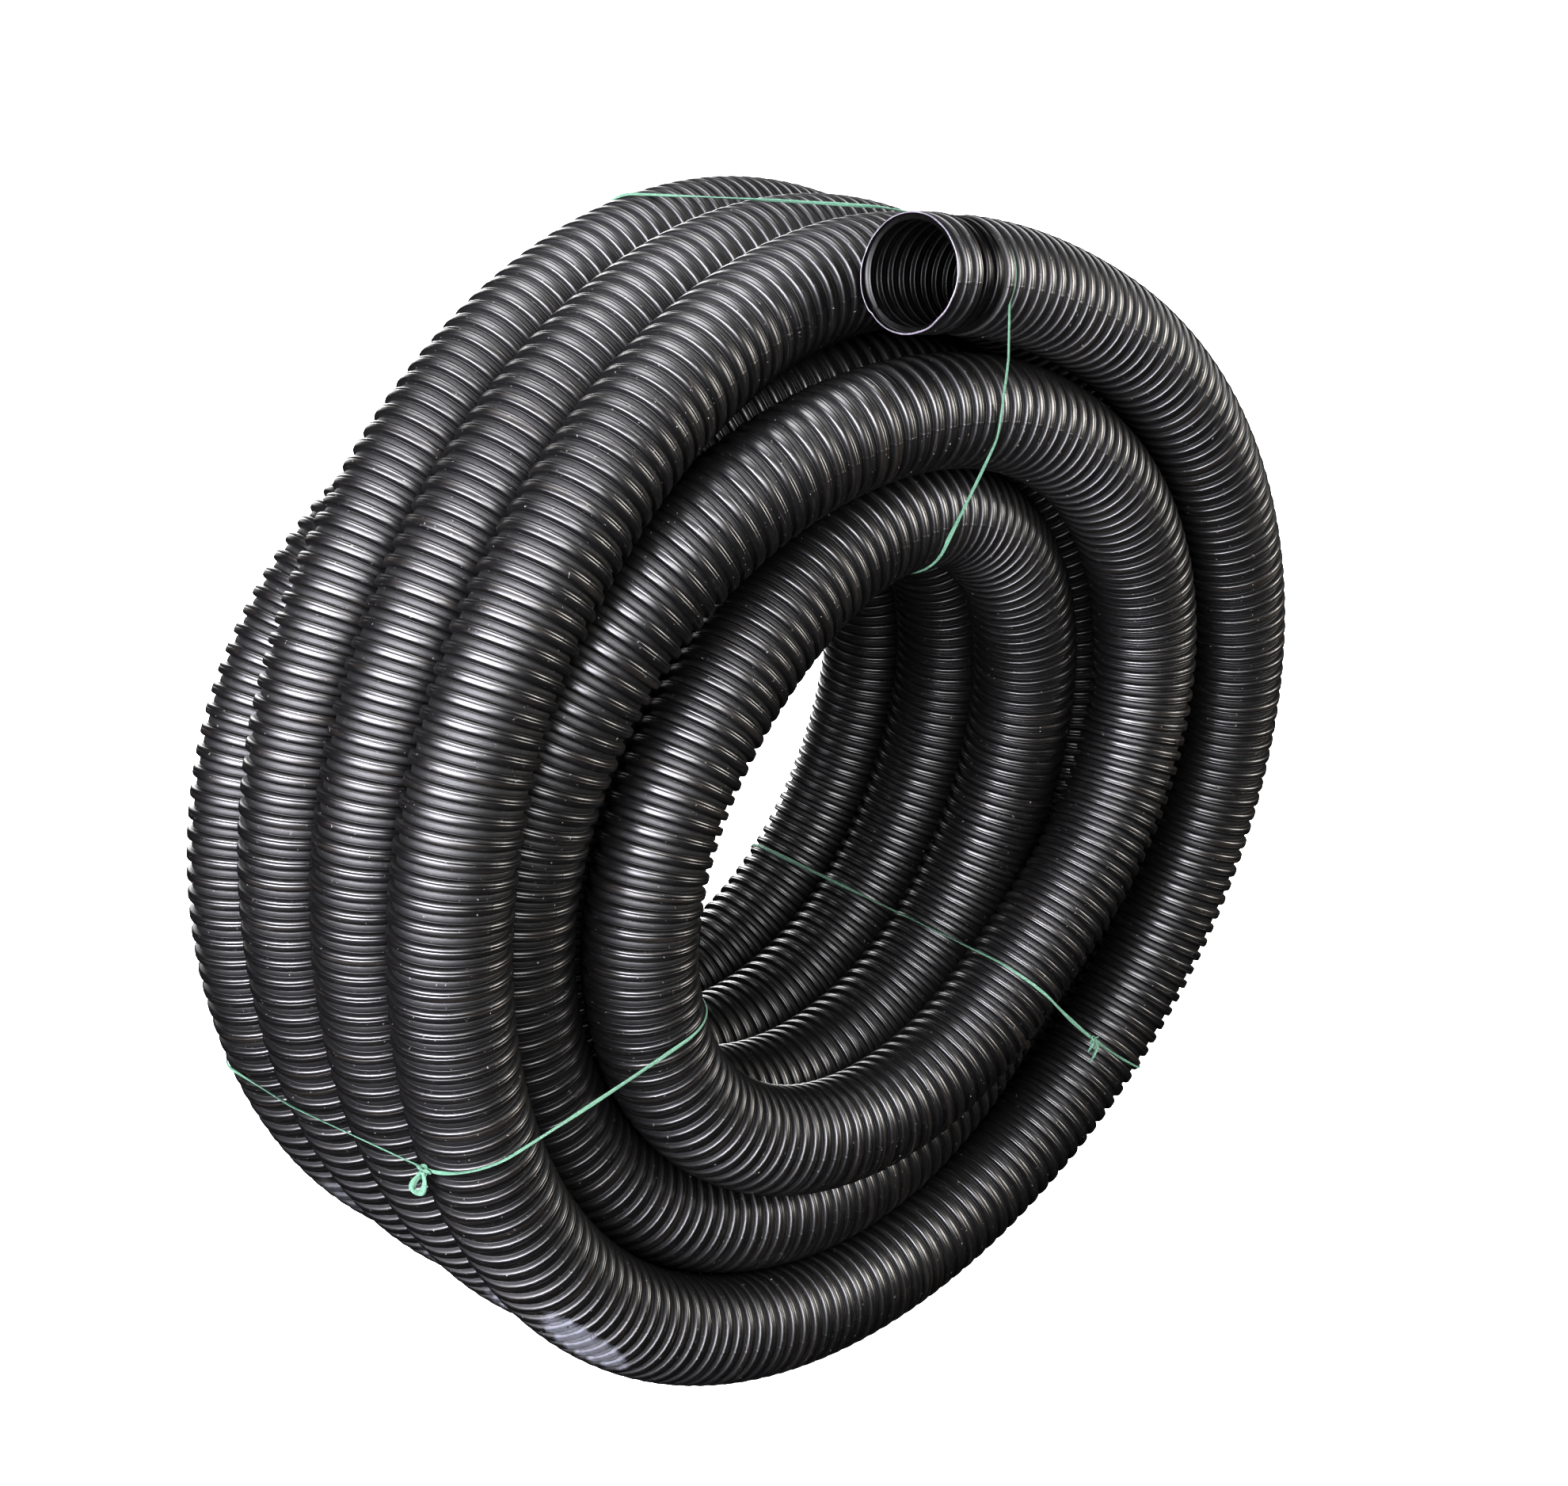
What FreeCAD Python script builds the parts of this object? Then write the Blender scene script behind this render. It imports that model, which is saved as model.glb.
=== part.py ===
import FreeCAD, Part

import math
import os

from FreeCAD import Vector

# A coil of single-wall corrugated pipe standing on its rim, tied with three bands of twine.
# Millimetres. X runs across the coil, Y along its axis from the front face to the back,
# and Z up, with the floor at zero under the middle of the coil's outline.

# Pipe
PIPE_OD = 91.0  # over the crests
PIPE_BORE = 78.0  # inside the roots
WALL = 1.2
RIB_PITCH = 13.3
CREST_LAND = 5.2  # flat on top of a crest
ROOT_LAND = 3.6  # flat at the bottom of a root
END_RIBS = 3  # ribs of a cut end, which has its true wall

# Coil, as the number of turns in each layer and the layers' radii
PITCH = 92.0  # between the centrelines of two turns that touch
STATIONS = 24  # points of the route in each turn
OUTER_TURNS = 4
MIDDLE_TURNS = 3
INNER_TURNS = 4
OUTER_RADIUS = 4.835 * PITCH
MIDDLE_RADIUS = 3.842 * PITCH
INNER_RADIUS = 2.743 * PITCH
START = -0.0075  # the open end, in turns, just before the top
FINISH = OUTER_TURNS + MIDDLE_TURNS + INNER_TURNS - 0.098  # the inner end
END_LIFT = 0.233 * PITCH  # how far the free end springs out
END_LIFT_TURNS = 0.07
TO_MIDDLE = (3.648, 0.32)  # where the pipe drops a layer, and over how many turns
TO_INNER = (7.14, 0.26)
DROP_BULGE = 0.109 * PITCH  # how far it swings back as it drops
STEP_OVER = (0.985, 0.22)  # the middle and length of an outer turn's step to the next column
STEP_SHARE = 0.606  # of the pitch is that step, and the rest a steady helix
OUTER_FRONT = -1.386 * PITCH  # each layer's place along the axis
MIDDLE_FRONT = -1.351 * PITCH
INNER_FRONT = -1.091 * PITCH

# Where the coil stands
SHIFT_X = 1.02
SHIFT_Y = -9.29
FLOOR_SQUASH = 3.0  # how far the rim is pressed flat on the floor
AXIS_HEIGHT = 4.793 * PITCH + PIPE_OD / 2 - FLOOR_SQUASH

# Twine
TWINE = 3.0  # across
TWINE_CLEARANCE = 2.4
TWINE_RUN = 45.0  # longest straight run
WRAP_CORNERS = 12  # of the outline that a tie follows round a pipe
KNOT_WIDTH = 8.0
KNOT_LENGTH = 13.0
KNOT_GAP = 4.0  # between the ends of the loop, inside the knot
LOOSE_END = 26.0
LOOSE_END_SPREAD = 0.45

# A tie crosses the coil at an angle clockwise from the top, in degrees. It slants by the second
# number for each pitch towards the back, and by the third for each pitch away from the axis.
# The last two are the knot's distance from the axis and its place along it, in pitches.
TIES = {
    "top_tie": (3.7, -3.26, -2.88, 4.36, 2.05),
    "right_tie": (138.5, -0.59, -2.07, 3.74, -2.00),
    "left_tie": (253.1, -1.87, 0.88, 5.34, -0.92),
}


def smooth(x):
    """0 before 0, 1 after 1, and a smooth rise between them."""
    x = min(max(x, 0.0), 1.0)
    return x * x * (3.0 - 2.0 * x)


def polar(turn):
    """The centreline's angle from the top, its radius and its place along the axis."""
    a = 2.0 * math.pi * turn
    in_middle = smooth((turn - TO_MIDDLE[0]) / TO_MIDDLE[1])
    in_inner = smooth((turn - TO_INNER[0]) / TO_INNER[1])
    shares = (1.0 - in_middle, in_middle - in_inner, in_inner)
    ovals = 0.177 * math.sin(2 * a) + 0.055 * math.sin(3 * a) - 0.136 * math.sin(a)
    radii = (
        OUTER_RADIUS + 0.042 * PITCH * math.cos(a),
        MIDDLE_RADIUS - 0.038 * PITCH * math.sin(a),
        INNER_RADIUS + ovals * PITCH,
    )
    since_step = turn - STEP_OVER[0] + STEP_OVER[1] / 2
    steps = math.floor(since_step) + smooth((since_step - math.floor(since_step)) / STEP_OVER[1])
    column = STEP_SHARE * steps + (1.0 - STEP_SHARE) * (turn - 0.5)
    places = (
        OUTER_FRONT + PITCH * (column + 0.1 * math.cos(2 * a) - 0.084 * math.sin(2 * a)),
        MIDDLE_FRONT - PITCH * (turn - 7 + 0.134 * math.cos(2 * a) + 0.03 * math.sin(2 * a)),
        INNER_FRONT + PITCH * (turn - 8 + 0.096 * math.sin(a) - 0.034 * math.cos(a)),
    )
    lift = END_LIFT * max(0.0, 1.0 - turn / END_LIFT_TURNS) ** 2
    radius = sum(share * r for share, r in zip(shares, radii)) + lift
    along = sum(share * y for share, y in zip(shares, places))
    return a, radius, along + DROP_BULGE * 4.0 * in_middle * (1.0 - in_middle)


def place(angle, radius, along):
    """The point at an angle from the top, a radius and a place along the coil's axis."""
    return Vector(
        radius * math.sin(angle) + SHIFT_X,
        along + SHIFT_Y,
        radius * math.cos(angle) + AXIS_HEIGHT,
    )


def route():
    """The pipe's stations between its two cut ends. Runs between stations touch the centreline."""
    tips = [place(*polar(turn)) for turn in (START, FINISH)]
    stations = []
    for i in range(int(FINISH * STATIONS)):
        angle, radius, along = polar((i + 0.5) / STATIONS)
        stations.append(place(angle, radius / math.cos(math.pi / STATIONS), along))
    return tips[:1] + stations + tips[1:]


def bend(before, corner, after):
    """The arc that joins two runs of a route: its first, middle and last points, and radius."""
    back = before - corner
    on = after - corner
    cut = 0.45 * min(back.Length, on.Length)
    back.normalize()
    on.normalize()
    half_turn = (math.pi - back.getAngle(on)) / 2
    radius = cut / math.tan(half_turn)
    inward = (back + on).normalize()
    middle = corner + inward * (radius / math.cos(half_turn) - radius)
    return corner + back * cut, middle, corner + on * cut, radius


def path(points, first, last):
    """Runs and tangent arcs from the point first, round the inner points, to the point last."""
    edges = []
    here = first
    for before, corner, after in zip(points, points[1:], points[2:]):
        start, middle, end, _ = bend(before, corner, after)
        edges.append(Part.LineSegment(here, start).toShape())
        edges.append(Part.Arc(start, middle, end).toShape())
        here = end
    edges.append(Part.LineSegment(here, last).toShape())
    return Part.Wire(edges)


def swept(spine, radii):
    """A round section, hollow if it has two radii, swept along a path."""
    start = spine.OrderedEdges[0]
    at = start.valueAt(start.FirstParameter)
    along = start.tangentAt(start.FirstParameter)
    rings = [Part.Wire(Part.makeCircle(r, at, along)) for r in radii]
    return spine.makePipe(Part.Face(rings, "Part::FaceMakerBullseye"))


def ribs(crest, root, crest_land):
    """The wall's outline along a cut end: distance from the tip, and radius."""
    flank = (RIB_PITCH - CREST_LAND - ROOT_LAND) / 2
    half = crest_land / 2
    outline = [(0.0, root)]
    for rib in range(END_RIBS):
        middle = (rib + 0.5) * RIB_PITCH
        outline += [(middle - half - flank, root), (middle - half, crest)]
        outline += [(middle + half, crest), (middle + half + flank, root)]
    return outline + [(END_RIBS * RIB_PITCH, root)]


def cut_end(tip, inward):
    """A cut end of the pipe with its ribs, cut through a root at the tip."""
    rise = (PIPE_OD - PIPE_BORE) / 2 - WALL
    flank = (RIB_PITCH - CREST_LAND - ROOT_LAND) / 2
    tuck = WALL * math.tan(math.atan2(rise, flank) / 2)
    outside = ribs(PIPE_OD / 2, PIPE_BORE / 2 + WALL, CREST_LAND)
    inside = ribs(PIPE_OD / 2 - WALL, PIPE_BORE / 2, CREST_LAND - 2 * tuck)
    ring = [Vector(r, 0, s) for s, r in outside + inside[::-1]]
    face = Part.Face(Part.makePolygon(ring + ring[:1]))
    solid = face.revolve(Vector(0, 0, 0), Vector(0, 0, 1), 360)
    solid.Placement = FreeCAD.Placement(tip, FreeCAD.Rotation(Vector(0, 0, 1), inward))
    return solid


def pressed_flat(shape):
    """The shape without whatever reaches below the floor."""
    box = shape.BoundBox
    if box.ZMin > 0:
        return shape
    corner = Vector(box.XMin, box.YMin, box.ZMin - 1)
    return shape.cut(Part.makeBox(box.XLength, box.YLength, -corner.z, corner))


def pipe():
    """The open end, each turn of each layer, and the inner end."""
    points = route()
    inward = [(points[1] - points[0]).normalize(), (points[-2] - points[-1]).normalize()]
    shapes = {
        "open_end": cut_end(points[0], inward[0]),
        "inner_end": cut_end(points[-1], inward[1]),
    }
    joints = [points[0] + inward[0] * END_RIBS * RIB_PITCH]
    joints += [(points[i] + points[i + 1]) / 2 for i in range(STATIONS, len(points) - 2, STATIONS)]
    joints.append(points[-1] + inward[1] * END_RIBS * RIB_PITCH)
    names = [f"outer_turn_{i + 1}" for i in range(OUTER_TURNS)]
    names += [f"middle_turn_{i + 1}" for i in range(MIDDLE_TURNS)]
    names += [f"inner_turn_{i + 1}" for i in range(INNER_TURNS)]
    section = math.pi * (PIPE_OD**2 - PIPE_BORE**2) / 4
    for i, name in enumerate(names):
        span = points[i * STATIONS : (i + 1) * STATIONS + 2]
        spine = path(span, joints[i], joints[i + 1])
        turn = swept(spine, (PIPE_OD / 2, PIPE_BORE / 2))
        radii = [bend(*corner)[3] for corner in zip(span, span[1:], span[2:])]
        print(
            f"{name}: length {spine.Length:.0f}, radii {min(radii):.0f} to {max(radii):.0f}, "
            f"volume over section times length {turn.Volume / (section * spine.Length):.4f}"
        )
        shapes[name] = pressed_flat(turn)
    return shapes


def slanted(tie, radius, along):
    """A tie's angle from the top, in turns, at a radius and a place along the axis."""
    angle, backward, outward = TIES[tie][:3]
    return (angle + backward * along / PITCH + outward * (radius / PITCH - 3.8)) / 360


def outline(tie):
    """Points of the section of every turn of pipe inside a tie: radius and place along the axis."""
    reach = (PIPE_OD / 2 + TWINE_CLEARANCE + TWINE / 2) / math.cos(math.pi / WRAP_CORNERS)
    points = []
    for k in range(int(FINISH) + 1):
        for i in range(WRAP_CORNERS):
            a = 2.0 * math.pi * (i + 0.5) / WRAP_CORNERS
            turn = k + TIES[tie][0] / 360
            for _ in range(8):
                _, radius, along = polar(min(turn, FINISH))
                radius += reach * math.cos(a)
                along += reach * math.sin(a)
                turn = k + slanted(tie, radius, along)
            if turn < FINISH:
                points.append((radius, along))
    return sorted(points)


def chain(points):
    """One side of the convex outline of sorted points, without its last point."""
    line = []
    for p in points:
        while len(line) > 1:
            (ax, ay), (bx, by) = line[-2:]
            if (bx - ax) * (p[1] - ay) - (by - ay) * (p[0] - ax) > 1e-6:
                break
            line.pop()
        line.append(p)
    return line[:-1]


def between(a, b, share):
    """The point of the plane at a share of the way from a to b."""
    return a[0] + (b[0] - a[0]) * share, a[1] + (b[1] - a[1]) * share


def knot(point, along, away):
    """A knot on the twine with its two loose ends."""
    barrel = Part.makeCylinder(KNOT_WIDTH / 2, KNOT_LENGTH, point - along * KNOT_LENGTH / 2, along)
    rims = [edge for edge in barrel.Edges if edge.Closed]
    barrel = barrel.makeFillet(KNOT_WIDTH / 4, rims)
    side = along.cross(away)
    for spread in (-LOOSE_END_SPREAD, LOOSE_END_SPREAD):
        end = Part.makeCylinder(TWINE / 2, LOOSE_END, point, side + along * spread + away * 0.3)
        barrel = barrel.fuse(end)
    return barrel


def tie_band(tie):
    """A loop of twine pulled tight round the turns, closed by its knot."""
    section = outline(tie)
    wrap = chain(section) + chain(section[::-1])
    flat = []
    for a, b in zip(wrap, wrap[1:] + wrap[:1]):
        runs = math.ceil(math.dist(a, b) / TWINE_RUN)
        flat += [between(a, b, i / runs) for i in range(runs)]
    at = (TIES[tie][3] * PITCH, TIES[tie][4] * PITCH)
    middles = [between(a, b, 0.5) for a, b in zip(flat, flat[1:] + flat[:1])]
    first = min(range(len(flat)), key=lambda i: math.dist(middles[i], at))
    flat = flat[first + 1 :] + flat[: first + 1]
    corners = [place(2.0 * math.pi * slanted(tie, r, y), r, y) for r, y in flat]
    middle = (corners[-1] + corners[0]) / 2
    along = (corners[0] - corners[-1]).normalize()
    away = middle - sum(corners, Vector()) / len(corners)
    away = (away - along * away.dot(along)).normalize()
    gap = along * KNOT_GAP / 2
    spine = path(corners[-1:] + corners + corners[:1], middle + gap, middle - gap)
    loop = swept(spine, (TWINE / 2,))
    print(
        f"{tie}: length {spine.Length:.0f}, round {len(section) / WRAP_CORNERS:.0f} turns, "
        f"volume over section times length {loop.Volume / (math.pi * TWINE**2 / 4 * spine.Length):.4f}"
    )
    return loop.fuse(knot(middle, along, away))


shapes = pipe()
for tie in TIES:
    shapes[tie] = tie_band(tie)

bounds = FreeCAD.BoundBox()
for name, shape in shapes.items():
    bounds.add(shape.optimalBoundingBox(False, False))
    if not shape.isValid() or len(shape.Solids) != 1:
        print(f"{name} isn't one valid solid")
print(bounds)

os.makedirs("parts", exist_ok=True)
for name, shape in shapes.items():
    shape.exportStep(f"parts/{name}.step")
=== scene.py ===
import math

import bmesh
import bpy
import numpy as np
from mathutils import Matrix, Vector


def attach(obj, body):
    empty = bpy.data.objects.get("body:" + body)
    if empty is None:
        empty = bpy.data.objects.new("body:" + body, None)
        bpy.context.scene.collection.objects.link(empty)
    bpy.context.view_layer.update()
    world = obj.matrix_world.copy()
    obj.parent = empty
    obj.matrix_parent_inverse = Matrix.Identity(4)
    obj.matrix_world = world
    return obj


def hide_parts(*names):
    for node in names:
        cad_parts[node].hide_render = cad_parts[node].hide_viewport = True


# A coil of corrugated pipe, standing on its rim and tied with twine. Metres, unless said.
# The route of the pipe is the same as in the CAD model, and so are the numbers that shape it.

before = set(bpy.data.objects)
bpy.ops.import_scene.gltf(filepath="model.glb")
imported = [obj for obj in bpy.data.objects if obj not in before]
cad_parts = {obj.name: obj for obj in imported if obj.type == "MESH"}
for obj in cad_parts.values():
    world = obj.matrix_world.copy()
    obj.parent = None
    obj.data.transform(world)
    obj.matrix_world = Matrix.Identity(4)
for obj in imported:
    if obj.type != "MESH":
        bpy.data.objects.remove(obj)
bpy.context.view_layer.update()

TAU = 2.0 * math.pi

PITCH = 0.092  # between the middles of two turns that lie side by side
PIPE_OD = 0.091
TURNS = 11
STATIONS = 24  # control points of the route in one turn
START = -0.0075  # the turns at which the pipe starts and ends
FINISH = TURNS - 0.098
OUTER_RADIUS = 4.835 * PITCH
MIDDLE_RADIUS = 3.842 * PITCH
INNER_RADIUS = 2.743 * PITCH
OUTER_FRONT = -1.386 * PITCH  # where the first turn of each layer lies along the axis
MIDDLE_FRONT = -1.351 * PITCH
INNER_FRONT = -1.091 * PITCH
TO_MIDDLE = (3.648, 0.32)  # the turn at which the pipe drops a layer, and for how long
TO_INNER = (7.14, 0.26)
DROP_BULGE = 0.109 * PITCH  # how far it swings along the axis as it drops to the middle layer
STEP_OVER = (0.985, 0.22)  # where in each turn the pipe steps over to the next, and for how long
STEP_SHARE = 0.606  # of the way to the next turn, with the rest a steady drift
END_LIFT = 0.233 * PITCH  # how far the open end stands out from its layer
END_LIFT_TURNS = 0.07
SHIFT_X = 0.00102  # puts the middle of the whole coil's box over the origin
SHIFT_Y = -0.00929
AXIS_HEIGHT = 4.793 * PITCH + PIPE_OD / 2 - 0.003  # with the rim pressed 3 mm flat at its foot

AROUND = 40  # points in a ring of the pipe, and twice as many at its ends
CUT_RINGS = 50  # rings from the cut to the first whole rib of an end
END_RIBS = 3  # ribs in an end piece
RIBS_INSIDE = 24  # ribs that an end piece has on its inside
LIP = 0.03  # how far the sawn edge is rounded, in ribs
RIB_LENGTH = 0.01435  # along the middle of the pipe, before it varies
WALL = 1.2  # mm, as are the depths in RIB
SQUEEZE = 0.10  # how much shallower the grooves are on the inside of the bend
WORN_SHARE = 0.92  # how nearly a fully worn place becomes level
WORN_DEPTH = 1.5  # mm under the crests, the level that it comes to

# The outside of one rib: how far along its pitch, and how deep under the crests, in mm
RIB = np.array(
    [
        (0.000, 4.20), (0.080, 4.28), (0.140, 4.45), (0.172, 5.00), (0.196, 4.30), (0.214, 2.80),
        (0.236, 1.40), (0.275, 0.52), (0.330, 0.16), (0.410, 0.03), (0.490, 0.00), (0.548, 0.03),
        (0.564, 0.36), (0.582, 0.08), (0.660, 0.15), (0.720, 0.48), (0.762, 1.35), (0.786, 2.80),
        (0.804, 4.30), (0.828, 5.00), (0.860, 4.45), (0.920, 4.28),
    ]
)

# Where the rim has rubbed on the ground: the turn, the place around the pipe, how far it reaches
# along the pipe in ribs and around it in turns, and how worn it is
WORN = (
    (0.638, 0.115, 4.2, 0.060, 0.8),
    (1.625, 0.100, 4.2, 0.065, 0.8),
    (2.628, 0.085, 2.6, 0.050, 0.30),
    (3.644, 0.070, 2.2, 0.045, 0.25),
)

# As in the CAD model: the angle from the top in degrees, its slant for each pitch back and for
# each pitch outwards, and the knot's distance from the axis and place along it, in pitches
TIES = {
    "top_tie": (3.7, -3.26, -2.88, 4.36, 2.05),
    "right_tie": (138.5, -0.59, -2.07, 3.74, -2.00),
    "left_tie": (253.1, -1.87, 0.88, 5.20, -1.42),
}
OUTLINE = 48  # points round each turn of pipe that a tie holds
TWINE_STEP = 0.002
TWINE_THICK = 0.0012
RIDGES = 12  # fibres that show across a ribbon of twine
TWINE_UV = 200.0  # along the twine, for each metre
KNOT_FALLS = np.array([-0.5, 0.5, -1.0])  # the way that loose ends of twine hang
STRAY_FIBRES = 14  # at each knot

# Points along each piece of pipe, at which its centre and outward direction are found.
CORD_STOPS = 160

FLOOR_REACH = 30
CAMERA_AWAY = 25.0 * PITCH
LAMPS_AIM = Vector((0.0, 0.0, 0.5))
SHEETS = ((0.6, 0.3), (1.0, 0.4), (1.5, 0.3))  # each sheet's scale and share of its lamp's power
SHEET_GAP = 0.03

# ---------------------------------------------------------------- route and meshes


def smooth(x):
    x = np.clip(x, 0.0, 1.0)
    return x * x * (3.0 - 2.0 * x)


def polar(turn):
    """The centreline's angle from the top, its radius and its place along the axis."""
    a = TAU * turn
    in_middle = smooth((turn - TO_MIDDLE[0]) / TO_MIDDLE[1])
    in_inner = smooth((turn - TO_INNER[0]) / TO_INNER[1])
    shares = (1.0 - in_middle, in_middle - in_inner, in_inner)
    # Each layer strays a little from a round, even coil. These sines and cosines are in pitches.
    ovals = 0.177 * np.sin(2 * a) + 0.055 * np.sin(3 * a) - 0.136 * np.sin(a)
    radii = (
        OUTER_RADIUS + 0.042 * PITCH * np.cos(a),
        MIDDLE_RADIUS - 0.038 * PITCH * np.sin(a),
        INNER_RADIUS + ovals * PITCH,
    )
    since_step = turn - STEP_OVER[0] + STEP_OVER[1] / 2
    steps = np.floor(since_step) + smooth((since_step - np.floor(since_step)) / STEP_OVER[1])
    column = STEP_SHARE * steps + (1.0 - STEP_SHARE) * (turn - 0.5)
    places = (
        OUTER_FRONT + PITCH * (column + 0.1 * np.cos(2 * a) - 0.084 * np.sin(2 * a)),
        MIDDLE_FRONT - PITCH * (turn - 7 + 0.134 * np.cos(2 * a) + 0.03 * np.sin(2 * a)),
        INNER_FRONT + PITCH * (turn - 8 + 0.096 * np.sin(a) - 0.034 * np.cos(a)),
    )
    lift = END_LIFT * np.maximum(0.0, 1.0 - turn / END_LIFT_TURNS) ** 2
    radius = sum(share * r for share, r in zip(shares, radii)) + lift
    along = sum(share * y for share, y in zip(shares, places))
    return a, radius, along + DROP_BULGE * 4.0 * in_middle * (1.0 - in_middle)


def place(angle, radius, along):
    x = radius * np.sin(angle) + SHIFT_X
    z = radius * np.cos(angle) + AXIS_HEIGHT
    return np.stack([x, along + SHIFT_Y, z], axis=-1)


def read_spline(points):
    """The smooth line that a NURBS spline draws through its control points."""
    curve = bpy.data.curves.new("route", "CURVE")
    curve.dimensions = "3D"
    spline = curve.splines.new("NURBS")
    spline.points.add(len(points) - 1)
    spline.points.foreach_set("co", np.append(points, np.ones((len(points), 1)), axis=1).ravel())
    spline.order_u = 3
    spline.use_endpoint_u = True
    spline.resolution_u = 16
    holder = bpy.data.objects.new("route", curve)
    mesh = bpy.data.meshes.new_from_object(holder)
    line = np.empty(3 * len(mesh.vertices))
    mesh.vertices.foreach_get("co", line)
    bpy.data.objects.remove(holder)
    bpy.data.curves.remove(curve)
    bpy.data.meshes.remove(mesh)
    return line.reshape(-1, 3)


def unit(v):
    return v / np.linalg.norm(v, axis=-1, keepdims=True)


def spans(line):
    """How far along a line each of its points lies."""
    return np.append(0.0, np.cumsum(np.linalg.norm(np.diff(line, axis=0), axis=1)))


def on_line(line, far, s):
    return np.stack([np.interp(s, far, line[:, i]) for i in range(3)], axis=-1)


def grid_mesh(name, grid, uv, capped=False):
    """A tube of quads over rings of points, (ring, around, xyz), with its ends open or capped."""
    n, m = grid.shape[:2]
    i, j = np.meshgrid(np.arange(n - 1), np.arange(m), indexing="ij")
    k = (j + 1) % m
    quads = np.stack([i * m + j, i * m + k, (i + 1) * m + k, (i + 1) * m + j], axis=-1)
    quads = quads.reshape(-1, 4)
    sizes = np.full(len(quads), 4)
    corners = quads.ravel()
    for ring in (0, n - 1) if capped else ():
        loop = ring * m + np.arange(m)
        corners = np.append(corners, loop[::-1] if ring == 0 else loop)
        sizes = np.append(sizes, m)
    mesh = bpy.data.meshes.new(name)
    mesh.vertices.add(n * m)
    mesh.vertices.foreach_set("co", grid.ravel())
    mesh.loops.add(len(corners))
    mesh.loops.foreach_set("vertex_index", corners)
    mesh.polygons.add(len(sizes))
    mesh.polygons.foreach_set("loop_start", np.append(0, np.cumsum(sizes)[:-1]))
    mesh.update(calc_edges=True)
    mesh.shade_smooth()
    around, along = uv
    along = along if along.ndim == 2 else along[:, None] + np.zeros(m)
    u = np.stack([around[j], around[j + 1], around[j + 1], around[j]], axis=-1)
    v = np.stack([along[i, j], along[i, k], along[i + 1, k], along[i + 1, j]], axis=-1)
    flat = np.zeros((len(corners), 2))
    flat[: 4 * len(quads)] = np.stack([u, v], axis=-1).reshape(-1, 2)
    mesh.uv_layers.new(name="pipe").data.foreach_set("uv", flat.ravel())
    return mesh


def piece(name, mesh, material):
    obj = bpy.data.objects.new(name, mesh)
    bpy.context.scene.collection.objects.link(obj)
    mesh.materials.append(material)
    obj.shadow_terminator_shading_offset = 0.2
    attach(obj, "root")
    return obj


# ---------------------------------------------------------------- materials


class Nodes:
    """A short way to build a material's nodes."""

    def __init__(self, name):
        self.material = bpy.data.materials.new(name)
        self.material.use_nodes = True
        self.tree = self.material.node_tree
        self.bsdf = self.tree.nodes["Principled BSDF"]

    def add(self, kind, inputs=(), **settings):
        node = self.tree.nodes.new(kind)
        for key, value in settings.items():
            setattr(node, key, value)
        for key, value in dict(inputs).items():
            if isinstance(value, bpy.types.NodeSocket):
                self.tree.links.new(value, node.inputs[key])
            else:
                node.inputs[key].default_value = value
        return node

    def math(self, operation, *values, clamp=False):
        inputs = dict(enumerate(values))
        return self.add("ShaderNodeMath", inputs, operation=operation, use_clamp=clamp).outputs[0]

    def ramp(self, value, low, high, to_low=0.0, to_high=1.0):
        """Eases from to_low to to_high as the value goes from low to high."""
        inputs = {0: value, 1: low, 2: high, 3: to_low, 4: to_high}
        return self.add("ShaderNodeMapRange", inputs, interpolation_type="SMOOTHSTEP").outputs[0]

    def noise(self, vector, scale, detail, roughness):
        inputs = {"Vector": vector, "Scale": scale, "Detail": detail, "Roughness": roughness}
        return self.add("ShaderNodeTexNoise", inputs).outputs["Fac"]

    def stretch(self, vector, by):
        """The vector with each of its parts times a number."""
        return self.add("ShaderNodeMapping", {"Vector": vector, "Scale": by}).outputs[0]

    def mix(self, share, a, b):
        node = self.add("ShaderNodeMix", {"Factor": share}, data_type="RGBA")
        for socket, value in ((node.inputs[6], a), (node.inputs[7], b)):
            if isinstance(value, bpy.types.NodeSocket):
                self.tree.links.new(value, socket)
            else:
                socket.default_value = (*value, 1.0)
        return node.outputs[2]

    def times(self, *values):
        """The product of two or more values."""
        product = values[-1]
        for value in values[-2::-1]:
            product = self.math("MULTIPLY", value, product)
        return product

    def bump(self, height, distance):
        inputs = {"Height": height, "Distance": distance, "Strength": 1.0}
        return self.add("ShaderNodeBump", inputs).outputs[0]

    def feed(self, socket, value):
        self.tree.links.new(value, self.bsdf.inputs[socket])


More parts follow.
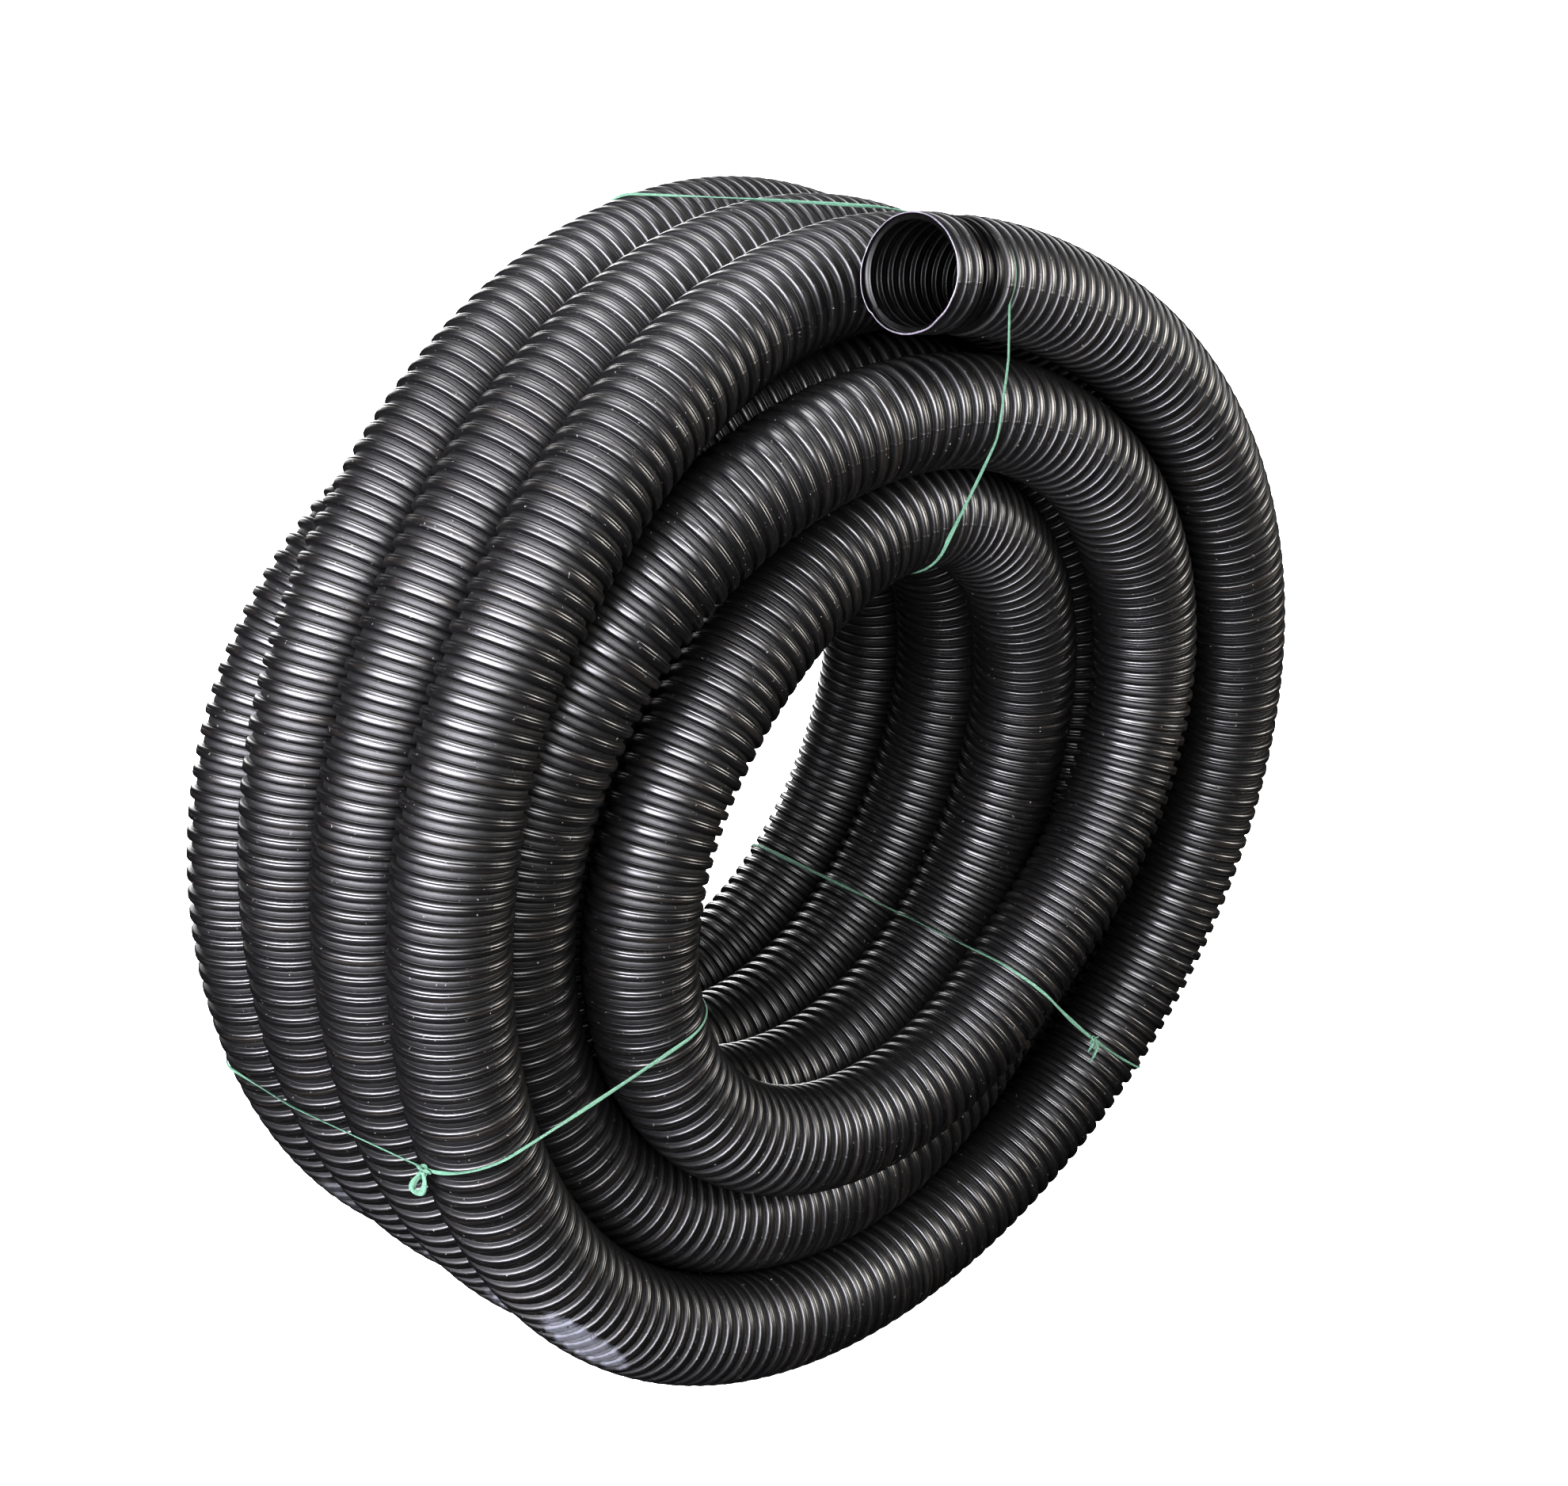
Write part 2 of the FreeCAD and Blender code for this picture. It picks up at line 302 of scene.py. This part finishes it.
def pipe_material():
    """Glossy black plastic, with scuffs and dust, painted shade in its grooves and painted
    highlights on some crests and on the valley floors. Its UVs are turns around and ribs along.
    """
    n = Nodes("black_polyethylene")
    uv = n.add("ShaderNodeUVMap", uv_map="pipe").outputs[0]
    split = n.add("ShaderNodeSeparateXYZ", {0: uv})
    around, along = split.outputs[0], split.outputs[1]
    phase = n.math("FRACT", along)
    off_crest = n.math("ABSOLUTE", n.math("SUBTRACT", phase, 0.5))
    crest = n.ramp(off_crest, 0.30, 0.22)
    floor = n.ramp(off_crest, 0.33, 0.36)
    where = n.add("ShaderNodeTexCoord").outputs["Object"]

    streaks = n.noise(n.stretch(uv, (3.0, 30.0, 1.0)), 1.0, 4.0, 0.6)
    chatter_and_sheen = n.noise(n.stretch(uv, (300.0, 1.5, 1.0)), 1.0, 3.0, 0.7)
    cloud = n.noise(where, 9.0, 4.0, 0.6)
    grain = n.noise(where, 900.0, 2.0, 0.6)
    specks = n.ramp(n.noise(where, 420.0, 2.0, 0.5), 0.70, 0.76)
    warm_sheen = n.ramp(n.noise(n.stretch(uv, (2.0, 3.0, 1.0)), 1.0, 2.0, 0.5), 0.52, 0.68)
    smear = n.noise(n.stretch(uv, (60.0, 1.4, 1.0)), 1.0, 3.0, 0.6)
    pits = n.noise(where, 330.0, 2.0, 0.6)
    scratch = n.ramp(n.noise(n.stretch(uv, (9.0, 210.0, 1.0)), 1.0, 1.0, 0.4), 0.70, 0.76)

    worn = worn_mask(n, around, along)
    skin = n.mix(cloud, (0.0020, 0.0019, 0.0022), (0.0044, 0.0041, 0.0040))
    # Painted shade: off the crests, in the grooves, the colour is nearly black.
    base = n.mix(crest, (0.0003, 0.0003, 0.0004), skin)
    # Painted highlight: the valley floors take a lighter colour in the streaks of the chatter
    # marks.
    base = n.mix(n.times(chatter_and_sheen, floor, 0.5), base, (0.005, 0.0046, 0.0042))
    # Painted highlight: a warm, brownish tint on some of the crests.
    base = n.mix(n.times(warm_sheen, crest, 0.35), base, (0.018, 0.0145, 0.011))
    base = n.mix(n.times(scratch, 0.30), base, (0.12, 0.12, 0.13))
    base = n.mix(n.times(specks, 0.40), base, (0.25, 0.24, 0.22))
    chalk = n.mix(smear, (0.026, 0.027, 0.032), (0.088, 0.092, 0.107))
    base = n.mix(n.times(worn, n.ramp(pits, 0.28, 0.34)), base, chalk)
    n.feed("Base Color", base)

    rough = n.math("ADD", 0.24, n.times(streaks, 0.12))
    rough = n.math("ADD", rough, n.times(cloud, 0.07))
    rough = n.math("ADD", rough, n.times(n.math("SUBTRACT", 1.0, crest), 0.22))
    rough = n.math("ADD", rough, n.times(worn, 0.24))
    rough = n.math("ADD", rough, n.times(specks, 0.3), clamp=True)
    n.feed("Roughness", rough)

    half_turn = n.math("FRACT", n.times(around, 2.0))
    seam = n.ramp(n.math("ABSOLUTE", n.math("SUBTRACT", half_turn, 0.5)), 0.010, 0.004)
    height = n.times(streaks, 0.025)
    height = n.math("ADD", height, n.times(chatter_and_sheen, floor, 0.22))
    height = n.math("ADD", height, n.times(seam, 0.10))
    height = n.math("ADD", height, n.times(grain, 0.006))
    height = n.math("SUBTRACT", height, n.times(scratch, 0.06))
    height = n.math("SUBTRACT", height, n.times(worn, smear, 0.25))
    n.feed("Normal", n.bump(height, 0.001))
    n.bsdf.inputs["Specular IOR Level"].default_value = 0.5
    n.bsdf.inputs["IOR"].default_value = 1.52
    return n.material


def worn_mask(n, around, along):
    """1 where the rim has rubbed on the ground, fading to 0 with a ragged edge."""
    ragged = n.noise(n.add("ShaderNodeTexCoord").outputs["Object"], 160.0, 3.0, 0.7)
    mask = None
    for turn, place_around, length, width, share in WORN:
        middle = float(np.interp(turn, TURN, COUNT))
        x = n.math("DIVIDE", n.math("SUBTRACT", along, middle), length)
        y = n.math("DIVIDE", n.math("SUBTRACT", around, place_around), width)
        r = n.math("ADD", n.times(x, x), n.times(y, y))
        spot = n.ramp(n.math("ADD", r, n.times(ragged, 0.9)), 1.45, 0.95, 0.0, share)
        mask = spot if mask is None else n.math("MAXIMUM", mask, spot)
    return mask


def twine_material():
    n = Nodes("mint_twine")
    uv = n.add("ShaderNodeUVMap", uv_map="pipe").outputs[0]
    fibres = n.noise(n.stretch(uv, (14.0, 60.0, 1.0)), 1.0, 3.0, 0.7)
    patches = n.noise(n.stretch(uv, (1.0, 25.0, 1.0)), 1.0, 2.0, 0.5)
    base = n.mix(fibres, (0.026, 0.070, 0.046), (0.090, 0.175, 0.125))
    base = n.mix(n.ramp(patches, 0.55, 0.8), base, (0.165, 0.245, 0.20))
    n.feed("Base Color", base)
    n.feed("Normal", n.bump(fibres, 0.0006))
    n.bsdf.inputs["Roughness"].default_value = 0.5
    n.bsdf.inputs["Subsurface Weight"].default_value = 0.15
    n.bsdf.inputs["Subsurface Radius"].default_value = (0.001, 0.002, 0.0015)
    return n.material


def cut_material():
    """The sawn edge of the wall, paler than its skin."""
    n = Nodes("cut_polyethylene")
    where = n.add("ShaderNodeTexCoord").outputs["Object"]
    tears = n.noise(where, 700.0, 3.0, 0.6)
    n.feed("Base Color", n.mix(tears, (0.022, 0.020, 0.025), (0.11, 0.10, 0.12)))
    n.feed("Normal", n.bump(tears, 0.0003))
    n.bsdf.inputs["Roughness"].default_value = 0.35
    return n.material


def inside_material():
    """The inside of the pipe: painted shade, a darker and less shiny copy of the outside's black.
    """
    n = Nodes("pipe_inside")
    uv = n.add("ShaderNodeUVMap", uv_map="pipe").outputs[0]
    inside_mottle = n.noise(n.stretch(uv, (12.0, 6.0, 1.0)), 1.0, 4.0, 0.6)
    # Painted shade: the inside wall is nearly black, with little specular.
    n.feed("Base Color", n.mix(inside_mottle, (0.0006, 0.0006, 0.0007), (0.0036, 0.0034, 0.0034)))
    n.feed("Roughness", n.ramp(inside_mottle, 0.2, 0.8, 0.20, 0.32))
    n.feed("Normal", n.bump(inside_mottle, 0.0001))
    n.bsdf.inputs["Specular IOR Level"].default_value = 0.14
    return n.material


# ---------------------------------------------------------------- pipe

turns = np.concatenate([[START], (np.arange(int(FINISH * STATIONS)) + 0.5) / STATIONS, [FINISH]])
angles, radii, alongs = polar(turns)
radii[1:-1] /= math.cos(math.pi / STATIONS)
LINE = read_spline(place(angles, radii, alongs))
FAR = spans(LINE)
TANGENT = unit(np.gradient(LINE, axis=0))
TURN = np.unwrap(np.arctan2(LINE[:, 0] - SHIFT_X, LINE[:, 2] - AXIS_HEIGHT)) / TAU

# Ribs get closer together towards the inside of the coil, and stretch a little where it sags.
spacing = RIB_LENGTH + 0.0008 * np.cos(TAU * (TURN - 0.68)) - 0.0012 * smooth((TURN - 7.0) / 0.3)
steps = 0.5 * (1.0 / spacing[1:] + 1.0 / spacing[:-1]) * np.diff(FAR)
COUNT = np.append(0.0, np.cumsum(steps))

BLACK = pipe_material()
CUT = cut_material()
INSIDE = inside_material()
MINT = twine_material()


def frame_at(s):
    """Places and directions along the pipe: centre, outwards from the coil's axis, and sideways."""
    centre = on_line(LINE, FAR, s)
    tangent = unit(on_line(TANGENT, FAR, s))
    out = centre - [SHIFT_X, 0.0, AXIS_HEIGHT]
    out[..., 1] = 0.0
    out = unit(out - tangent * np.sum(out * tangent, axis=-1, keepdims=True))
    return centre, out, np.cross(tangent, out)


def wobble(count, theta):
    """Slow unevenness of the wall, in metres."""
    a = np.sin(0.21 * count + 2.0 * theta) * np.sin(0.047 * count + 1.3)
    b = np.sin(0.083 * count - 3.0 * theta + 0.7)
    return 0.00022 * a + 0.00014 * b


def worn_at(count, theta):
    """How worn the wall is, from 0 to 1."""
    worn = 0.0
    for turn, around, length, width, share in WORN:
        x = (count - np.interp(turn, TURN, COUNT)) / length
        y = (theta / TAU - around) / width
        worn = np.maximum(worn, share * np.clip(1.6 - 1.6 * (x * x + y * y), 0.0, 1.0))
    return worn


def rings(counts, thickness=0.0, around=AROUND):
    """Points of the wall's outside, or at this thickness under it, pressed flat on the floor."""
    theta = np.arange(around) * TAU / around
    counts = (counts if counts.ndim == 2 else counts[:, None]) + 0.0 * theta
    depths = np.interp(counts, RIB[:, 0], RIB[:, 1], period=1.0)
    worn = worn_at(counts, theta)
    depths = depths + WORN_SHARE * worn * (WORN_DEPTH - depths)
    centre, out, side = frame_at(np.interp(counts, COUNT, FAR))
    squeezed = 1.0 - SQUEEZE * (1.0 - np.cos(theta)) / 2.0
    radius = PIPE_OD / 2 - (depths * squeezed + thickness) / 1000.0 + wobble(counts, theta)
    direction = out * np.cos(theta)[:, None] + side * np.sin(theta)[:, None]
    points = centre + direction * radius[..., None]
    points[..., 2] = np.maximum(points[..., 2], thickness / 1000.0)
    return points


def rib_counts(first, last):
    """The rib counts of the rings from one whole count to another."""
    return np.append((np.arange(first, last)[:, None] + RIB[:, 0]).ravel(), last)


def open_tube(name, cut, last, inside):
    """A cut end of the pipe: its outside from the cut to a rib, its edge, and its inside."""
    around = 2 * AROUND
    edge = cut(np.arange(around) * TAU / around)
    way = 1 if last > 0 else -1
    first = edge + (way - edge) * np.linspace(0.0, 1.0, CUT_RINGS)[:, None]
    outer = np.concatenate([first, way * rib_counts(1, abs(last))[1:, None] + 0.0 * edge])
    deep = np.concatenate([first, way * rib_counts(1, abs(inside))[1:, None] + 0.0 * edge])
    lip = way * LIP
    counts = np.concatenate([deep[::-1], edge[None] + lip * 0.2, edge[None] + lip, outer[1:]])
    counts += BASE[name]
    thick = np.concatenate([np.full(len(deep), WALL), [0.8 * WALL, 0.12], np.zeros(len(outer) - 1)])
    points = rings(counts, thick[:, None], around)
    mesh = grid_mesh(name, points, (np.arange(around + 1) / around, counts))
    # The inside, the sawn edge and the outside each have their own material.
    bands = np.zeros(len(mesh.polygons), dtype=int)
    bands[: (len(deep) - 1) * around] = 2
    bands[(len(deep) - 1) * around : (len(deep) + 1) * around] = 1
    mesh.polygons.foreach_set("material_index", bands)
    return mesh


def nearest_rib(turn):
    return int(round(np.interp(turn, TURN, COUNT)))


def open_cut(theta):
    """Where the saw went round the open end, in ribs from its tip."""
    spiral = ((theta / TAU - 0.62) % 1.0) - 0.5
    ragged = 0.02 * np.sin(5.0 * theta + 1.0) + 0.012 * np.sin(13.0 * theta)
    return 0.44 + 0.24 * np.cos(theta + 0.5) + 0.16 * spiral + ragged


def inner_cut(theta):
    return -0.35 + 0.10 * np.cos(theta) + 0.02 * np.sin(7.0 * theta)


# Every turn but the last is in two halves, so that no piece has too many faces for the export.
halves = [0.5 * k for k in range(2 * TURNS - 1)] + [FINISH]
breaks = [nearest_rib(turn) for turn in halves]
BASE = {"open_end": 0, "inner_end": breaks[-1]}
breaks[0] += END_RIBS
breaks[-1] -= END_RIBS
around_uv = np.arange(AROUND + 1) / AROUND
NODE_NAMES = [f"outer_turn_{i + 1}" for i in range(4)]
NODE_NAMES += [f"middle_turn_{i + 1}" for i in range(3)]
NODE_NAMES += [f"inner_turn_{i + 1}" for i in range(4)]
ends = {}
for node, cut, last, inside in (
    ("open_end", open_cut, END_RIBS, RIBS_INSIDE),
    ("inner_end", inner_cut, -END_RIBS, -RIBS_INSIDE),
):
    ends[node] = piece(f"hose_{node}", open_tube(node, cut, last, inside), BLACK)
    ends[node].data.materials.append(CUT)
    ends[node].data.materials.append(INSIDE)
    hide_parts(node)

for low, high, a, b in zip(breaks, breaks[1:], halves, halves[1:]):
    counts = rib_counts(low, high)
    half = "" if b == FINISH else "_a" if a == int(a) else "_b"
    node = NODE_NAMES[int(a)]
    mesh = grid_mesh(node + half, rings(counts), (around_uv, counts))
    hose = piece(f"hose_{node}{half}", mesh, BLACK)
    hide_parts(node)
    first, last = np.interp([low, high], COUNT, FAR)
    stops = np.linspace(first, last, CORD_STOPS)
    centre, out, _ = frame_at(stops)

# ---------------------------------------------------------------- twine

RADII = np.hypot(LINE[:, 0] - SHIFT_X, LINE[:, 2] - AXIS_HEIGHT)


def slanted(tie, radius, along):
    """The angle from the top, in turns, of the slanted surface that a tie lies in."""
    angle, backward, outward = TIES[tie][:3]
    return (angle + backward * along / PITCH + outward * (radius / PITCH - 3.8)) / 360.0


def wrap_points(tie):
    """The convex outline of the turns of pipe inside a tie, as radius and place along the axis."""
    a = np.arange(OUTLINE) * TAU / OUTLINE
    reach = PIPE_OD / 2 + 0.0009
    found = []
    for k in range(TURNS):
        turn = k + TIES[tie][0] / 360.0 + 0.0 * a
        for _ in range(8):
            radius = np.interp(turn, TURN, RADII) + reach * np.cos(a)
            along = np.interp(turn, TURN, LINE[:, 1]) - SHIFT_Y + reach * np.sin(a)
            turn = k + slanted(tie, radius, along)
        if turn.max() < FINISH:
            found += list(zip(radius.tolist(), along.tolist()))
    found.sort()
    sides = []
    for points in (found, found[::-1]):
        side = []
        for p in points:
            while len(side) > 1:
                (ax, ay), (bx, by) = side[-2:]
                if (bx - ax) * (p[1] - ay) - (by - ay) * (p[0] - ax) > 1e-9:
                    break
                side.pop()
            side.append(p)
        sides += side[:-1]
    return np.array(sides)


def loop_of(tie):
    """The twine's closed line, starting at its knot, with points that are evenly spaced."""
    flat = wrap_points(tie)
    flat = np.append(flat, flat[:1], axis=0)
    far = spans(flat)
    s = np.arange(0.0, far[-1], TWINE_STEP)
    flat = np.stack([np.interp(s, far, flat[:, i]) for i in (0, 1)], axis=-1)
    knot = np.array(TIES[tie][3:]) * PITCH
    flat = np.roll(flat, -int(np.linalg.norm(flat - knot, axis=1).argmin()), axis=0)
    line = place(TAU * slanted(tie, flat[:, 0], flat[:, 1]), flat[:, 0], flat[:, 1])
    if tie == "top_tie":
        line = into_groove(line)
    for _ in range(3):
        line = (np.roll(line, 1, axis=0) + 2.0 * line + np.roll(line, -1, axis=0)) / 4.0
    return line


def into_groove(line):
    """Lets the twine down into a groove where it passes over the open end's turn."""
    groove = nearest_rib(TIES["top_tie"][0] / 360.0 + 0.012)
    centre, out, side = (v[0] for v in frame_at(np.interp([groove], COUNT, FAR)))
    ahead = np.cross(out, side)
    rel = line - centre
    across = np.stack([rel @ out, rel @ side], axis=-1)
    reach = np.linalg.norm(across, axis=1)
    inside = np.flatnonzero((reach < PIPE_OD / 2 + 0.0015) & (np.abs(rel @ ahead) < 0.05))
    seated = across / reach[:, None] * (PIPE_OD / 2 - 0.0036)
    seated = centre + seated[:, :1] * out + seated[:, 1:] * side
    line = line.copy()
    line[inside] = seated[inside]
    free = 22  # points of twine between the groove and where it is held again
    for last, step in ((inside[0], -1), (inside[-1], 1)):
        for i in range(1, free):
            line[last + step * i] = line[last] + (line[last + step * free] - line[last]) * i / free
    return line


def ribbon(line, up, widths, thick, twist):
    """Rings of a flat fibrous ribbon along a line. Its flat side faces up, turned by the twist."""
    tangent = unit(np.gradient(line, axis=0))
    up = unit(up - tangent * np.sum(up * tangent, axis=1, keepdims=True))
    side = np.cross(tangent, up)
    twist = np.broadcast_to(np.asarray(twist, dtype=float), len(line))[:, None]
    up, side = up * np.cos(twist) + side * np.sin(twist), side * np.cos(twist) - up * np.sin(twist)
    a = np.arange(2 * RIDGES) * TAU / (2 * RIDGES)
    fibres = 1.0 + 0.16 * np.cos(RIDGES * a) * np.abs(np.cos(a)) ** 0.3
    w = np.broadcast_to(widths, len(line))[:, None, None] / 2
    y = np.sin(a) * fibres * thick / 2
    return line[:, None] + side[:, None] * (w * np.cos(a)[:, None]) + up[:, None] * y[:, None]


def twine_mesh(name, parts):
    """One mesh of several ribbons, each a grid of rings, with closed ends."""
    meshes = []
    for grid in parts:
        far = spans(grid.mean(axis=1)) * TWINE_UV
        uv = (np.arange(grid.shape[1] + 1) / grid.shape[1], far)
        meshes.append(grid_mesh(name, grid, uv, capped=True))
    joined = bmesh.new()
    for mesh in meshes:
        joined.from_mesh(mesh)
    whole = bpy.data.meshes.new(name)
    joined.to_mesh(whole)
    joined.free()
    whole.shade_smooth()
    for mesh in meshes:
        bpy.data.meshes.remove(mesh)
    return whole


def curl(points, count):
    """A smooth line of this many points through a few given ones."""
    points = np.array(points)
    t = np.linspace(0.0, len(points) - 1.0, count)
    i = np.clip(t.astype(int), 0, len(points) - 2)
    f = (t - i)[:, None]
    before, after = points[np.maximum(i - 1, 0)], points[np.minimum(i + 2, len(points) - 1)]
    a, b = points[i], points[i + 1]
    slope_a, slope_b = (b - before) / 2, (after - a) / 2
    f2, f3 = f * f, f * f * f
    return (
        (2 * f3 - 3 * f2 + 1) * a
        + (f3 - 2 * f2 + f) * slope_a
        + (3 * f2 - 2 * f3) * b
        + (f3 - f2) * slope_b
    )


def knot_parts(line, up, seed, bow):
    """A pulled knot at the start of a loop, with its bow or loose ends and stray fibres."""
    middle = line[0] + up * 0.0016
    along = unit(line[3] - line[-3])
    side = np.cross(along, up)

    def at(x, y, z):
        return middle + along * x + side * y + up * z

    t = np.linspace(0.0, TAU, 90)
    x, y = np.cos(t) - 2.0 * np.cos(2 * t), np.sin(t) + 2.0 * np.sin(2 * t)
    z = -np.sin(3 * t)
    coils = np.stack([at(0.0017 * a, 0.0014 * b, 0.0012 * c) for a, b, c in zip(x, y, z)])
    parts = [ribbon(coils, up + 0.0 * coils, 0.0027, 0.0014, np.sin(2 * t))]
    fall = unit(KNOT_FALLS - up * np.dot(KNOT_FALLS, up))
    rng = np.random.default_rng(seed)

    def hanging(points, count, width, thick, twist=0.0):
        places = [middle + fall * a + along * b + up * c for a, b, c in points]
        path = curl(places, count)
        return ribbon(path, up + 0.0 * path, width, thick, twist)

    if bow:
        wide = 0.0032 + 0.0022 * np.sin(np.linspace(0.0, math.pi, 60)) ** 2
        for lean, lift in ((0.0, 0.0), (0.0016, 0.0013)):
            loop = [
                (0.000, 0.0005, 0.001), (0.010, -0.0052 - lean, 0.003), (0.021, -0.0074, 0.003),
                (0.0300 - lean, -0.0050, 0.0025), (0.0325 - lean, 0.0005, 0.0022),
                (0.0270, 0.0054, 0.003), (0.014, 0.0040 + lean, 0.0036), (0.000, 0.0010, 0.001),
            ]
            loop = [(a, b, c + lift) for a, b, c in loop]
            parts.append(hanging(loop, 60, wide, 0.0009, np.linspace(-0.5, 0.7, 60)))
        tails = [
            [(0.0, 0.0, 0.0), (0.006, 0.004, 0.003), (0.014, 0.006, 0.003), (0.020, 0.0045, 0.002)],
            [(0.0, 0.0, 0.001), (-0.005, 0.004, 0.003), (-0.009, 0.009, 0.003)],
        ]
    else:
        tails = [
            [(0.0, 0.0, 0.001), (0.004, 0.006, 0.003), (0.012, 0.009, 0.002), (0.02, 0.008, 0.001)],
            [(0.0, 0.0, 0.001), (0.005, -0.005, 0.003), (0.013, -0.006, 0.002)],
        ]
    taper = np.linspace(0.0026, 0.0018, 30)
    for points in tails:
        parts.append(hanging(points, 30, taper, 0.0008, np.linspace(0, 2, 30)))
    for _ in range(STRAY_FIBRES):
        a, b = rng.uniform(-1.0, 1.0, 2)
        far = rng.uniform(0.5, 1.0)
        points = [
            (0.001 * a, 0.003 * b, 0.001),
            (0.004 * far + 0.003 * a, 0.006 * b, 0.003 + 0.001 * a),
            (0.011 * far + 0.004 * b, 0.009 * a * far, 0.002),
        ]
        parts.append(hanging(points, 12, 0.00035, 0.0003))
    return parts


for seed, tie in enumerate(TIES):
    line = loop_of(tie)
    up = line - line.mean(axis=0)
    tangent = unit(np.roll(line, -1, axis=0) - np.roll(line, 1, axis=0))
    up = unit(up - tangent * np.sum(up * tangent, axis=1, keepdims=True))
    s = np.arange(len(line)) * TWINE_STEP
    width = 0.0029 + 0.0005 * np.sin(31.0 * s + seed) + 0.0004 * np.sin(83.0 * s + 2.0 * seed)
    twist = 0.9 * np.sin(9.0 * s + 2.0 * seed) + 0.5 * np.sin(23.0 * s)
    twist *= smooth(np.minimum(s, s[-1] - s) / 0.03)
    closed = [np.append(v, v[:1], axis=0) for v in (line, up, width, twist)]
    parts = [ribbon(closed[0], closed[1], closed[2], TWINE_THICK, closed[3])]
    twine = piece(f"twine_{tie}", twine_mesh(tie, parts), MINT)
    parts = knot_parts(line, up[0], seed, tie == "left_tie")
    knot = piece(f"knot_{tie}", twine_mesh(tie + "_knot", parts), MINT)
    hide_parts(tie)
    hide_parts(tie)

# ---------------------------------------------------------------- camera, light and floor

r = FLOOR_REACH
floor_mesh = bpy.data.meshes.new("floor")
floor_mesh.from_pydata([(-r, -r, 0), (r, -r, 0), (r, r, 0), (-r, r, 0)], [], [(0, 1, 2, 3)])
floor_obj = bpy.data.objects.new("floor", floor_mesh)
bpy.context.scene.collection.objects.link(floor_obj)
paper = Nodes("pale_floor")
paper.bsdf.inputs["Base Color"].default_value = (0.93, 0.93, 0.93, 1.0)
paper.bsdf.inputs["Roughness"].default_value = 0.9
paper.bsdf.inputs["Emission Color"].default_value = (1.0, 1.0, 1.0, 1.0)
paper.bsdf.inputs["Emission Strength"].default_value = 1.0
floor_mesh.materials.append(paper.material)
floor_obj.visible_glossy = False

azimuth, elevation = math.radians(-44.4), math.radians(23.77)
back = Vector(
    (
        math.sin(azimuth) * math.cos(elevation),
        -math.cos(azimuth) * math.cos(elevation),
        math.sin(elevation),
    )
)
target = Vector((SHIFT_X + 0.128 * PITCH, SHIFT_Y, AXIS_HEIGHT + 0.384 * PITCH))
camera = bpy.data.cameras.new("camera")
camera.sensor_width = 36.0
camera.lens = 62.2
camera.clip_end = 100.0
camera_obj = bpy.data.objects.new("camera", camera)
camera_obj.location = target + back * CAMERA_AWAY
camera_obj.rotation_euler = back.to_track_quat("Z", "Y").to_euler()
bpy.context.scene.collection.objects.link(camera_obj)
bpy.context.scene.camera = camera_obj


def softbox(name, position, size, power, colour):
    """A lamp with a soft edge: sheets of light behind one another, each larger than the last."""
    towards = LAMPS_AIM - Vector(position)
    for sheet, (scale, share) in enumerate(SHEETS):
        light = bpy.data.lights.new(f"{name}_{sheet}", "AREA")
        light.shape = "ELLIPSE"
        light.size, light.size_y = scale * size[0], scale * size[1]
        light.energy = share * power
        light.color = colour
        obj = bpy.data.objects.new(light.name, light)
        obj.location = Vector(position) - SHEET_GAP * sheet * towards.normalized()
        obj.rotation_euler = (-towards).to_track_quat("Z", "Y").to_euler()
        bpy.context.scene.collection.objects.link(obj)


softbox("key", (-2.9, -0.8, 1.7), (4.2, 1.9), 930.0, (0.94, 0.93, 1.0))
softbox("front", (-1.6, -3.0, 2.6), (2.0, 2.0), 240.0, (0.98, 0.97, 0.97))
softbox("right", (2.6, -2.2, 1.5), (1.8, 2.2), 285.0, (1.0, 0.96, 0.90))
softbox("top", (0.2, 0.2, 3.2), (3.2, 2.2), 270.0, (0.98, 0.98, 1.0))
softbox("back", (1.5, 3.4, 1.3), (3.4, 2.2), 420.0, (1.0, 1.0, 1.0))

world = bpy.data.worlds.new("studio")
bpy.context.scene.world = world
world.use_nodes = True
sky = world.node_tree.nodes["Background"]
sky.inputs["Color"].default_value = (1.0, 1.0, 1.0, 1.0)
sky.inputs["Strength"].default_value = 0.75
world.cycles_visibility.glossy = False
world.cycles_visibility.diffuse = False
bpy.context.scene.view_settings.view_transform = "Standard"
bpy.context.scene.view_settings.gamma = 0.74
